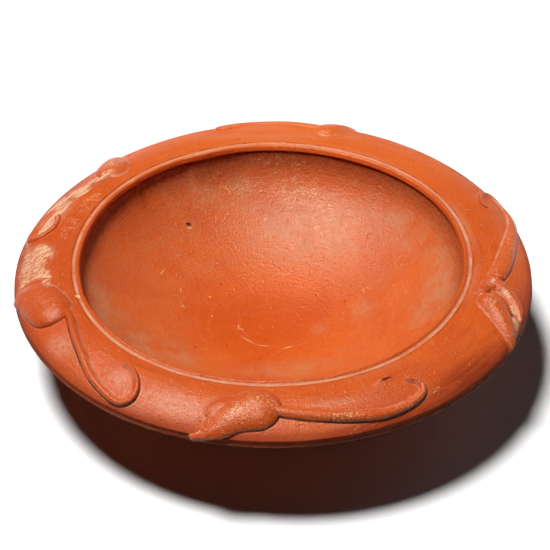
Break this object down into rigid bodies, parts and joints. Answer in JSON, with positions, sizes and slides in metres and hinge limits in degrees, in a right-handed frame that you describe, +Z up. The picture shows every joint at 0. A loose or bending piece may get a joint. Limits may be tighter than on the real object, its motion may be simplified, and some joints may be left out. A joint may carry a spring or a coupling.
{
  "type": "flanged dish",
  "caption": "Shallow round earthenware dish with a down-turned flange, a beaded mouth, a low foot ring, and leaves and tendrils of trailed slip on the flange.",
  "frame": {"origin": "centre of the foot ring, on the surface that the dish stands on", "axes": "+Z up along the dish's own axis; -Y towards the front, where a leaf meets its tendril"},
  "size_m": [0.18, 0.18, 0.0429],
  "materials": {
    "body_slip": "satin red slip, worn",
    "foot_slip": "matt red slip, worn",
    "leaf_slip": "satin red slip, rubbed on top",
    "tendril_slip": "satin red slip, rubbed on top"
  },
  "bodies": {
    "root": {"dish_body": "body_slip", "foot_ring": "foot_slip", "leaf_1": "leaf_slip", "leaf_2": "leaf_slip", "leaf_3": "leaf_slip", "leaf_4": "leaf_slip", "leaf_5": "leaf_slip", "tendril_1": "tendril_slip", "tendril_2": "tendril_slip", "tendril_3": "tendril_slip", "tendril_4": "tendril_slip", "tendril_5": "tendril_slip"}
  },
  "joints": []
}
